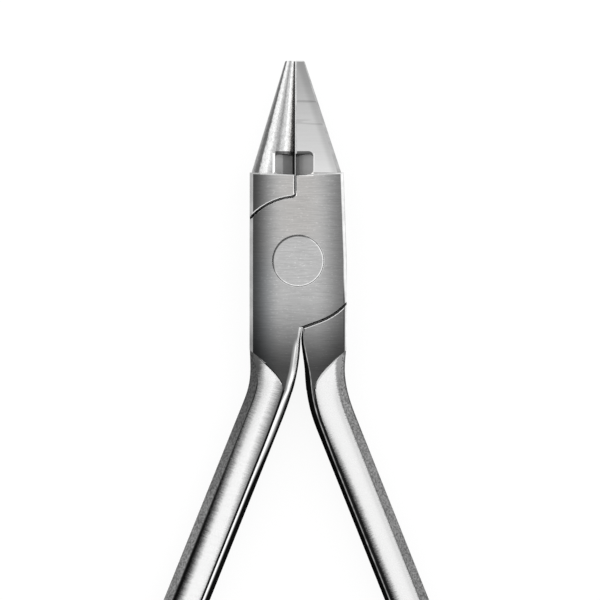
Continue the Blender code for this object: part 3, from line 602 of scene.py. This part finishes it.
def ground_finish(name, edge):
    """Satin face, ground in straight lines across the joint, with painted shade towards its sides and lower end
    and two painted highlight rims. At its lower end the handle's inner edge runs up beside it, with its painted
    light and shade."""
    steel = Steel(name, 0.34)
    wires = steel.wires
    lines, marks = brush_marks(steel)
    # The face's level: painted shade towards its sides and lower end, the grain, and two painted highlight rims
    # on top
    face = wires.math("MAXIMUM", wires.all_of(0.40, painted_ground_shade(steel), marks), painted_highlight_rims(steel))
    edge_level, reach = edge(steel)
    upright = wires.math("ABSOLUTE", wires.split(steel.true_normal())["Z"])
    # Beside the handle's inner edge, the face takes that edge's painted light and shade
    beside = wires.all_of(
        wires.ease(steel.to_inner(), reach, wires.math("SUBTRACT", reach, 0.08)),
        wires.ease(steel.run(), -0.3, 1.3), wires.above(upright, 0.9),
    )
    face = wires.math("MULTIPLY", face, wires.math("SUBTRACT", 1.0, beside))
    steel.paint(wires.math("MULTIPLY_ADD", edge_level, beside, face), tint=ground_tint(steel))
    steel.set_roughness(lines, 0.26, 0.46)
    steel.add_bump(lines, 0.010 * MM, 0.3)
    return steel.material


def rivet_finish(name):
    """The rivet is ground with the face, a little lighter, and its rim has a painted highlight on the lower
    right and painted shade on the upper left.
    """
    steel = Steel(name, 0.32)
    wires = steel.wires
    place = steel.from_pivot()
    from_axis = wires.vector("LENGTH", wires.pair(place["X"], place["Y"]))
    rim = wires.above(from_axis, RIVET_RADIUS - 0.15 * MM)
    upper = wires.math("MULTIPLY", place["Y"], 0.66)
    lower_right = wires.math("SUBTRACT", wires.math("MULTIPLY", place["X"], 0.75), upper)
    # Painted highlight on the rim, brightest to the lower right and shaded to the upper left, its limit broken
    # up by noise
    mottle = steel.noise(steel.spot, (900, 900, 900), detail=2.0)
    glint_reach = wires.math("MULTIPLY_ADD", mottle, 3.0 * MM, lower_right)
    glint = wires.ease(glint_reach, -1.2 * MM, 2.4 * MM, 0.35, 1.95)
    ring = wires.math("MULTIPLY_ADD", rim, wires.math("SUBTRACT", glint, 1.0), 1.0)
    lines, marks = brush_marks(steel)
    steel.paint(0.42, marks, ring)
    steel.set_roughness(lines, 0.26, 0.44)
    steel.add_bump(lines, 0.008 * MM, 0.3)
    return steel.material


def edge_finish(name):
    """Chamfers and broken edges, painted brighter than the face as a highlight, in a random tone. Down the
    joint's left side they are painted duller, and down its right side a painted dark line of shade parts them
    from the face."""
    steel = Steel(name, 0.30)
    wires = steel.wires
    place = steel.from_pivot()
    mottle = steel.noise(steel.spot, (700, 700, 700), detail=2.0)
    # Painted highlight level of the edges, varied at random
    sheen_and_wear = steel.tone(mottle, 0.3, 0.7, (0.0, 0.62), (1.0, 0.78))
    depth = wires.math("SUBTRACT", JOINT_FACE_HEIGHT, wires.math("ABSOLUTE", place["Z"]))
    # Painted light and shade across the left side's chamfer: duller near the face, then a highlight, lighter up
    # the joint and darker at its lower end
    left = steel.tone(
        depth, 0.0, SIDE_CHAMFER, (0.0, 0.56), (0.3, 0.50), (0.55, 0.54), (0.70, 1.0), (1.0, 1.0)
    )
    left = wires.math("MULTIPLY", left, wires.ease(place["Y"], -8.5 * MM, -11.0 * MM, 1.30, 0.80))
    # Painted shade and highlight across the right side's chamfer: a dark line next to the face, then a bright
    # highlight band
    widened = wires.math("ADD", depth, wires.ease(place["Y"], -1.0 * MM, -7.0 * MM, 0.13 * MM, 0.0))
    right = steel.tone(
        widened, 0.0, SIDE_CHAMFER,
        (0.0, 0.05), (0.18, 0.08), (0.40, 1.0), (0.66, 1.0), (0.82, 0.60), (1.0, 0.50),
    )
    right = wires.math("MULTIPLY", right, 1.15)
    sides_start = 5.2 * MM
    on_left = wires.below(place["X"], -sides_start)
    on_right = wires.above(place["X"], sides_start)
    plain = wires.math("SUBTRACT", 1.0, wires.math("ADD", on_left, on_right))
    sides = wires.math("MULTIPLY_ADD", left, on_left, wires.math("MULTIPLY_ADD", right, on_right, plain))
    steel.paint(sheen_and_wear, sides)
    steel.set_roughness(mottle, 0.22, 0.38)
    return steel.material


def parting_finish(name):
    """The edges along the parting lines: a painted highlight where they are broken, and painted black shade down
    the gap. The black starts higher along the jaw line."""
    steel = Steel(name, 0.32)
    wires = steel.wires
    place = steel.from_pivot()
    depth = wires.math("SUBTRACT", JOINT_FACE_HEIGHT, wires.math("ABSOLUTE", place["Z"]))
    from_jaw = wires.math("ABSOLUTE", wires.math("SUBTRACT", place["X"], JAW_LINE_X))
    at_jaw = wires.all_of(wires.above(place["Y"], JAW_LINE_FOOT_Y), wires.below(from_jaw, 0.5 * MM))
    sunk = wires.math("MULTIPLY_ADD", at_jaw, 0.045 * MM, depth)
    # Painted highlight near the face, falling to painted black shade deeper in the gap
    steel.paint(steel.tone(sunk, 0.0, 0.16 * MM, (0.0, 0.95), (0.62, 0.85), (0.78, 0.02), (1.0, 0.004)))
    return steel.material


def crown_marks(steel):
    """Polishing marks across the crown, and fine salt-and-pepper grain."""
    marks = steel.noise(steel.along, (3.2, 0.5, 1.0), detail=3.0)
    grain = steel.noise(steel.along, (11.0, 5.0, 1.0), detail=2.0, roughness=0.7)
    return marks, grain


def painted_crown_shade(steel, distance, dark, length, low):
    """Painted shade on the crown: a level that stays low up to a distance from the crown's side, and grows to 1
    over a length. Its limit is broken up into short spikes across the handle."""
    wires = steel.wires
    spikes = steel.noise(steel.along, (7.5, 0.7, 1.0), detail=2.0, roughness=0.6)
    specks = steel.noise(steel.along, (9.0, 7.0, 1.0), detail=2.0, roughness=0.7)
    ragged = steel.shaken(steel.shaken(distance, spikes, 0.9), specks, 0.7)
    share = wires.math("DIVIDE", wires.math("SUBTRACT", ragged, dark), length)
    risen = steel.tone(share, 0.0, 1.0, (0.0, 0.0), (0.20, 0.06), (0.36, 0.22), (0.55, 0.46), (1.0, 1.0))
    return wires.math("MULTIPLY_ADD", risen, wires.math("SUBTRACT", 1.0, low), low)


def front_crown_finish(name):
    """Polished crown of the left handle, with painted shade: black along the flank from the bend on, shaded
    towards the crease near the joint, and painted black in a groove beside the crease."""
    steel = Steel(name, 0.20)
    wires = steel.wires
    run = steel.run()
    to_inner = steel.to_inner()
    marks, grain = crown_marks(steel)
    # Painted black shade along the outer side, widening down the handle, and painted shade towards the crease
    dark = wires.math("ADD", wires.ease(run, 6.0, 38.0, 0.98, 1.56), wires.ease(run, 5.5, 3.5, 0.0, 0.22))
    outer = painted_crown_shade(steel, steel.to_outer(), dark, 1.15, wires.ease(run, 5.0, 17.0, 0.12, 0.006))
    length = wires.ease(run, 6.0, 36.0, 1.75, 0.40)
    inner = painted_crown_shade(steel, to_inner, 1.06, length, wires.ease(run, 4.0, 34.0, 0.10, 0.45))
    # Painted black band of shade beside the crease
    band_shade_foot = wires.ease(run, 6.0, 16.0, 1.24, 1.15)
    band_shade_top = wires.ease(run, 6.0, 16.0, 1.42, 1.29)
    groove = wires.ease(to_inner, band_shade_foot, band_shade_top, 0.02, 1.0)
    steel.paint(0.76, outer, inner, groove, steel.around(marks, 0.10), steel.around(grain, 0.22))
    # Where the painted shade is black, the steel has no gloss
    steel.dull(wires.ease(wires.all_of(outer, inner, groove), 0.01, 0.16))
    steel.set_roughness(marks, 0.10, 0.34)
    steel.add_bump(marks, 0.03 * MM, 0.5)
    return steel.material


def back_crown_finish(name):
    """Polished crown of the right handle: evenly bright, with painted shade along the crease and a lighter
    painted shade along its outer side.
    """
    steel = Steel(name, 0.22)
    wires = steel.wires
    run = steel.run()
    marks, grain = crown_marks(steel)
    # Painted shade along the crease, and a lighter one along the outer side
    dark = wires.ease(run, 6.0, 22.0, 0.62, 0.98)
    length = wires.ease(run, 6.0, 22.0, 0.75, 0.95)
    inner = painted_crown_shade(steel, steel.to_inner(), dark, length, wires.ease(run, 5.0, 20.0, 0.15, 0.02))
    outer = painted_crown_shade(steel, steel.to_outer(), 1.12, 0.30, 0.35)
    steel.paint(0.73, inner, outer, steel.around(marks, 0.05), steel.around(grain, 0.16))
    steel.set_roughness(marks, 0.14, 0.34)
    steel.add_bump(marks, 0.02 * MM, 0.4)
    return steel.material


def flank_finish(name, root_painted_light, bar_painted_light, line_painted_shade, border_painted_shade):
    """Matte, blasted flank with an even fine grain, its level painted as light and shade along the handle, a
    painted dark line of shade where it meets the crown, and a darker painted outer border near the bend."""
    steel = Steel(name, 0.55)
    wires = steel.wires
    run = steel.run()
    to_outer = steel.to_outer()
    grain = steel.noise(steel.spot, (3600, 3600, 3600), detail=2.0, roughness=0.7)
    clouds = steel.noise(steel.spot, (500, 500, 500), detail=2.0)
    # Level painted as light and shade along the run, different on each handle
    level = wires.ease(run, 2.0, 34.0, root_painted_light, bar_painted_light)
    painted_shade_line = wires.ease(to_outer, 1.02, 1.18, 1.0, line_painted_shade)
    # Painted shade along the outer border near the bend
    border = wires.ease(to_outer, 0.06, 0.30, wires.ease(run, 10.0, 24.0, border_painted_shade, 1.0), 1.0)
    grained = wires.ease(grain, 0.3, 0.7, 0.45, 1.60)
    steel.paint(level, painted_shade_line, border, grained, steel.around(clouds, 0.25))
    steel.set_roughness(grain, 0.42, 0.68)
    steel.add_bump(grain, 0.03 * MM, 0.6)
    return steel.material


def face_end_finish(name, foot):
    """The milled wall at the end of the ground face, painted as light and shade: black shade up to this share of
    its height, then a white highlight.
    """
    steel = Steel(name, 0.25)
    height = steel.wires.math("ABSOLUTE", steel.from_pivot()["Z"])
    rise = steel.wires.math("SUBTRACT", height, JOINT_FACE_HEIGHT - 0.02 * MM)
    # Painted black shade at the foot, then a painted white highlight
    level = steel.tone(rise, 0.0, 0.30 * MM, (0.0, 0.01), (foot, 0.03), (foot + 0.10, 1.0), (1.0, 1.0))
    steel.paint(level)
    steel.dull(steel.wires.ease(level, 0.02, 0.25))
    return steel.material


def crease_finish(name):
    """The bottom of the narrow groove between crown and strip, painted near-black as shade, with no gloss."""
    steel = Steel(name, 0.6)
    steel.paint(0.012)
    steel.dull(0.0)
    return steel.material


def front_inner_edge(steel):
    """The painted light and shade across the inner edge of the left handle, and how far it reaches: black shade
    where it turns away, a bright painted highlight strip, and beside the ground face a fade into it."""
    wires = steel.wires
    run = steel.run()
    to_inner = steel.to_inner()
    turned = wires.math("ADD", wires.ease(run, 4.4, 5.9, 0.08, 0.20), wires.ease(run, 12.0, 22.0, 0.0, 0.33))
    rise = wires.math("SUBTRACT", wires.ease(run, 5.5, 8.5, 0.24, 0.62), wires.ease(run, 12.0, 22.0, 0.0, 0.34))
    risen = steel.tone(
        wires.math("DIVIDE", wires.math("SUBTRACT", to_inner, turned), rise), 0.0, 1.0,
        (0.0, 0.005), (0.08, 0.02), (0.28, 0.14), (0.48, 0.33), (0.68, 0.70), (0.88, 1.0), (1.0, 0.92),
    )
    fall = wires.ease(run, 3.2, 9.6, 0.30, 0.95)
    fade = 0.45
    fallen = steel.tone(
        wires.math("SUBTRACT", to_inner, fall), 0.0, fade, (0.0, 1.0), (0.26, 0.42), (0.60, 0.24), (1.0, 0.12)
    )
    return wires.math("MULTIPLY", risen, fallen), wires.math("ADD", fall, fade)


def back_inner_edge(steel):
    """The painted light and shade across the inner edge of the right handle, and how far it reaches: black
    shade, with one thin painted highlight line along its arris."""
    wires = steel.wires
    run = steel.run()
    sunk = wires.ease(run, 10.0, 18.0, 0.0, 0.11)
    arris = wires.math("SUBTRACT", wires.ease(run, 0.0, 6.5, 0.27, 0.67), sunk)
    # Noise that varies the strength of the painted highlight line
    mottle = steel.noise(steel.along, (0.6, 0.0, 1.0), detail=2.0)
    line = wires.ease(mottle, 0.35, 0.65, 0.16, 0.36)
    across = steel.tone(
        wires.math("SUBTRACT", steel.to_inner(), arris), -0.10, 0.30,
        (0.0, 0.0), (0.20, 0.02), (0.26, 1.0), (0.55, 1.0), (0.62, 0.06), (1.0, 0.03),
    )
    return wires.math("MULTIPLY_ADD", across, line, 0.003), wires.math("ADD", arris, 0.16)


def inner_edge_finish(name, edge):
    """Inner edge of a handle, painted with the light and shade that the edge gives. Its black parts have no
    gloss.
    """
    steel = Steel(name, 0.24)
    level, reach = edge(steel)
    steel.paint(level)
    steel.dull(steel.wires.ease(level, 0.02, 0.25))
    return steel.material


def window_edges(steel, rim_start, rim_end):
    """The factor of painted shade that darkens the beak along the window's top edge, and the level of its
    painted highlight rim at the side.
    """
    wires = steel.wires
    place = steel.from_pivot()
    x, y = place["X"], place["Y"]
    corner = 0.70 * MM
    past_x = wires.math("MAXIMUM", wires.math("SUBTRACT", x, WINDOW_RIGHT_X - corner), 0.0)
    past_y = wires.math("MAXIMUM", wires.math("SUBTRACT", y, WINDOW_TOP_Y - corner), 0.0)
    from_corner = wires.vector("LENGTH", wires.pair(past_x, past_y))
    # Painted dark shade over the beak above the window's top edge
    over = wires.all_of(
        wires.below(from_corner, corner), wires.above(x, WINDOW_LEFT_X + 0.05 * MM),
        wires.above(y, WINDOW_TOP_Y - 1.0 * MM),
    )
    # Painted highlight rim beside the window
    rim = wires.all_of(
        wires.above(x, rim_start), wires.below(x, rim_end), wires.below(y, WINDOW_TOP_Y - 0.3 * MM), 0.95
    )
    return wires.math("MULTIPLY_ADD", over, -0.82, 1.0), rim


def beak_finish(name):
    """Satin flat beak, painted lighter towards its root and with painted shade along its outer side, with two
    groups of grinding scratches across it."""
    steel = Steel(name, 0.36)
    wires = steel.wires
    place = steel.from_pivot()
    lines = steel.noise(steel.spot, (260, 5200, 600), detail=4.0, roughness=0.6)
    scratches = wires.ease(steel.noise(steel.spot, (150, 2600, 300), detail=1.0), 0.56, 0.64)
    upper = wires.band(place["Y"], 21.4 * MM, 21.9 * MM, 23.0 * MM, 23.6 * MM)
    lower = wires.band(place["Y"], 18.0 * MM, 18.4 * MM, 19.8 * MM, 20.2 * MM)
    scratched = wires.math("MULTIPLY", scratches, wires.math("MULTIPLY_ADD", lower, 0.6, upper))
    darkened = wires.ease(scratched, 0.0, 1.0, 1.0, 0.74)
    # Painted light: lighter towards the root
    painted_root_light = steel.tone(
        place["Y"], 27.5 * MM, 11.8 * MM, (0.0, 0.34), (0.2, 0.37), (0.5, 0.49), (0.8, 0.55), (1.0, 0.64)
    )
    taper = 0.326
    outward = wires.math("MULTIPLY_ADD", place["Y"], taper, place["X"])
    # Painted shade along the outer side
    outer_shade = wires.ease(outward, 8.2 * MM, 9.1 * MM, 1.0, 0.80)
    # Painted shade along the window's top edge, and a painted highlight rim beside it
    line, rim = window_edges(steel, WINDOW_RIGHT_X, WINDOW_RIGHT_X + 0.16 * MM)
    satin = wires.all_of(painted_root_light, outer_shade, steel.around(lines, 0.10), darkened, line)
    steel.paint(wires.math("MAXIMUM", satin, wires.math("MULTIPLY", rim, 0.74)))
    steel.set_roughness(lines, 0.30, 0.44)
    steel.add_bump(lines, 0.008 * MM, 0.3)
    return steel.material


def beak_edge_finish(name):
    """Outer chamfer of the flat beak, hardly lighter than its face."""
    steel = Steel(name, 0.34)
    mottle = steel.noise(steel.spot, (500, 900, 500), detail=2.0)
    steel.paint(steel.tone(mottle, 0.3, 0.7, (0.0, 0.40), (1.0, 0.54)))
    return steel.material


def cone_finish(name):
    """Polished cone, painted with reflected light and shade: dark and rough along its outer side, a grey painted
    reflection streak near its crest between bright painted highlights, and black painted shade where it turns in
    to the other beak."""
    steel = Steel(name, 0.30, metallic=0.75)
    wires = steel.wires
    place = steel.from_pivot()
    share = wires.math("DIVIDE", wires.math("SUBTRACT", place["Y"], BEAK_ROOT_Y), BEAK_TIP_Y - BEAK_ROOT_Y)
    radius = wires.math("MULTIPLY_ADD", share, ROUND_TIP_RADIUS - ROUND_ROOT_RADIUS, ROUND_ROOT_RADIUS)
    across = wires.math("DIVIDE", wires.math("SUBTRACT", place["X"], CONE_FACE_X), radius)
    grain = steel.noise(steel.spot, (2600, 1300, 900), detail=3.0, roughness=0.7)
    ragged = steel.shaken(wires.math("ADD", across, 1.0), grain, 0.14)
    # Painted reflection across the cone: dark outer side, highlights, a grey streak at the crest, black at the
    # inner side
    painted_light_bands = steel.tone(
        ragged, -1.0, 1.0,
        (0.00, 0.30), (0.05, 0.24), (0.09, 0.12), (0.155, 0.14), (0.20, 0.90), (0.24, 1.0), (0.33, 1.0),
        (0.39, 0.60), (0.46, 0.42), (0.515, 0.28), (0.55, 0.32), (0.60, 0.52), (0.68, 0.60), (0.73, 0.94),
        (0.845, 0.92), (0.875, 0.52), (0.905, 0.26), (0.945, 0.34), (0.965, 0.14), (0.985, 0.01),
    )
    specks = steel.noise(steel.spot, (5200, 3200, 900), detail=2.0, roughness=0.7)
    # Painted shade along the window's top edge and a painted highlight rim beside it
    line, rim = window_edges(steel, WINDOW_LEFT_X - 0.32 * MM, WINDOW_LEFT_X)
    painted_cone_level = wires.all_of(painted_light_bands, steel.around(grain, 0.10), wires.ease(specks, 0.3, 0.7, 0.80, 1.15), line)
    steel.paint(wires.math("MAXIMUM", painted_cone_level, rim))
    steel.set_roughness(grain, 0.16, 0.40)
    steel.add_bump(grain, 0.02 * MM, 0.3)
    return steel.material


def cutter_finish(name):
    """Dull ground bevels of the wire cutter, painted in stripes of light and shade across them, with a painted
    black line of shade where the cutting edge falls away.
    """
    steel = Steel(name, 0.5, metallic=0.3)
    lines = steel.noise(steel.spot, (600, 4200, 600), detail=2.0)
    # Painted light and shade across the bevels, and a black line of shade at the cutting edge
    painted_light_bands = steel.tone(
        steel.from_pivot()["X"], -3.2 * MM, 2.2 * MM,
        (0.0, 0.42), (0.19, 0.42), (0.215, 0.22), (0.44, 0.22), (0.455, 0.004), (0.495, 0.004), (0.51, 0.30),
        (0.61, 0.27), (0.645, 0.34), (0.72, 0.33), (0.745, 0.36), (1.0, 0.36),
    )
    steel.paint(painted_light_bands, steel.around(lines, 0.08))
    return steel.material


def cutter_wall_finish(name):
    """The window's upper wall, which faces away from the light, painted near-black as its shade."""
    steel = Steel(name, 0.45)
    steel.paint(0.06)
    return steel.material


# Studio
def add_stage(name, corners, material):
    """A flat sheet that isn't part of the object."""
    mesh = bpy.data.meshes.new(name)
    mesh.from_pydata(corners, [], [tuple(range(len(corners)))])
    mesh.materials.append(material)
    sheet = bpy.data.objects.new(name, mesh)
    bpy.context.scene.collection.objects.link(sheet)


def table_material():
    """White table that keeps the shadow. Part of its white is a glow that camera, gloss and glass rays see."""
    material = bpy.data.materials.new("white table")
    material.use_nodes = True
    tree = material.node_tree
    tree.nodes.clear()
    wires = Wiring(tree)
    path = wires.add("ShaderNodeLightPath", {}).outputs
    seen = wires.math("MAXIMUM", path["Is Camera Ray"], path["Is Glossy Ray"])
    seen = wires.math("MAXIMUM", seen, path["Is Transmission Ray"])
    matte = wires.add("ShaderNodeBsdfDiffuse", {"Color": (0.9, 0.9, 0.9, 1)})
    glow = wires.add("ShaderNodeEmission", {"Color": (1, 1, 1, 1), "Strength": 1.04})
    mix = wires.add("ShaderNodeMixShader", {"Fac": wires.math("MULTIPLY", seen, 0.86)})
    wires.join(matte.outputs[0], mix.inputs[1])
    wires.join(glow.outputs[0], mix.inputs[2])
    wires.join(mix.outputs[0], wires.add("ShaderNodeOutputMaterial", {}).inputs["Surface"])
    return material


def light_studio():
    """A white tent of light, brightest overhead and to the right, round a white table."""
    world = bpy.data.worlds.new("studio")
    world.use_nodes = True
    background = world.node_tree.nodes["Background"].inputs
    wires = Wiring(world.node_tree)
    way = wires.add("ShaderNodeTexCoord", {}).outputs["Generated"]
    height = wires.vector("DOT_PRODUCT", way, TENT_TOP)
    level = wires.ease(height, -0.2, 1.0, TENT_LOW, TENT_HIGH)
    wires.join(level, background["Strength"])
    background["Color"].default_value = (1, 1, 1, 1)
    bpy.context.scene.world = world
    corners = [(TABLE_REACH * x, TABLE_REACH * y, 0) for x, y in ((-1, -1), (1, -1), (1, 1), (-1, 1))]
    add_stage("table", corners, table_material())


def place_camera():
    camera = bpy.data.cameras.new("camera")
    camera.sensor_width = SENSOR_WIDTH
    camera.lens = SENSOR_WIDTH * CAMERA_DISTANCE / VIEW_WIDTH
    camera.clip_start = 0.05
    camera.clip_end = 20.0
    holder = bpy.data.objects.new("camera", camera)
    holder.location = VIEW_CENTRE + Vector((0, 0, CAMERA_DISTANCE))
    bpy.context.scene.collection.objects.link(holder)
    bpy.context.scene.camera = holder


def dress_forgings(finishes):
    tree = make_forging_tree()
    front = {
        "Grip Line": make_grip_line("front grip line", FRONT_GRIP),
        "Outward": float(FRONT_GRIP.outward),
        "Root Run": FRONT_GRIP.root_run,
        "Inner Edge Top": HANDLE_START_Y + 0.1 * MM,
        "Crown": front_crown_finish("left crown"),
        "Flank": flank_finish("left flank", 0.080, 0.25, 0.12, 1.0),
        "Ground": ground_finish("left ground face", front_inner_edge),
        "Inner Edge": inner_edge_finish("left inner edge", front_inner_edge),
        "Face End": face_end_finish("left face end", 0.42),
    }
    back = {
        "Grip Line": make_grip_line("back grip line", BACK_GRIP),
        "Outward": float(BACK_GRIP.outward),
        "Root Run": BACK_GRIP.root_run,
        "Round Beak": 1.0,
        "Inner Edge Top": HANDLE_START_Y + 1.2 * MM,
        "Crown": back_crown_finish("right crown"),
        "Flank": flank_finish("right flank", 0.29, 0.23, 0.70, 0.35),
        "Ground": ground_finish("right ground face", back_inner_edge),
        "Inner Edge": inner_edge_finish("right inner edge", back_inner_edge),
        "Face End": face_end_finish("right face end", 0.05),
    }
    for node, values in (("front_half", front), ("back_half", back)):
        piece = dressed_copy(f"{node}_skin", node, tree, finishes | values | {"Pivot": tuple(PIVOT)})
        bpy.data.objects.remove(values["Grip Line"])
        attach(piece, node)
        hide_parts(node)


def dress_rivet(finish):
    tree = bpy.data.node_groups.new("dress rivet", "GeometryNodeTree")
    add_socket(tree, "Geometry", "NodeSocketGeometry")
    add_socket(tree, "Weld Distance", "NodeSocketFloat", WELD_DISTANCE)
    add_socket(tree, "Crease Angle", "NodeSocketFloat", CREASE_ANGLE)
    add_socket(tree, "Rivet", "NodeSocketMaterial")
    tree.interface.new_socket("Geometry", in_out="OUTPUT", socket_type="NodeSocketGeometry")
    wires = Wiring(tree)
    given = wires.add("NodeGroupInput", {}).outputs
    skin = add_smooth_skin(wires, given["Geometry"], given)
    node = wires.add("GeometryNodeSetMaterial", {"Geometry": skin, "Material": given["Rivet"]})
    wires.join(node.outputs[0], wires.add("NodeGroupOutput", {}).inputs[0])
    piece = dressed_copy("pivot_rivet_skin", "pivot_rivet", tree, {"Rivet": finish})
    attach(piece, "front_half")
    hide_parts("pivot_rivet")


def main():
    bpy.context.scene.view_settings.view_transform = "Standard"
    place_camera()
    light_studio()
    dress_forgings({
        "Edge": edge_finish("bright edge"),
        "Parting": parting_finish("parting edge"),
        "Crease": crease_finish("dark crease"),
        "Beak": beak_finish("satin beak"),
        "Beak Edge": beak_edge_finish("beak chamfer"),
        "Cone": cone_finish("polished cone"),
        "Cutter": cutter_finish("cutter bevel"),
        "Cutter Wall": cutter_wall_finish("cutter wall"),
    })
    dress_rivet(rivet_finish("ground rivet"))


main()
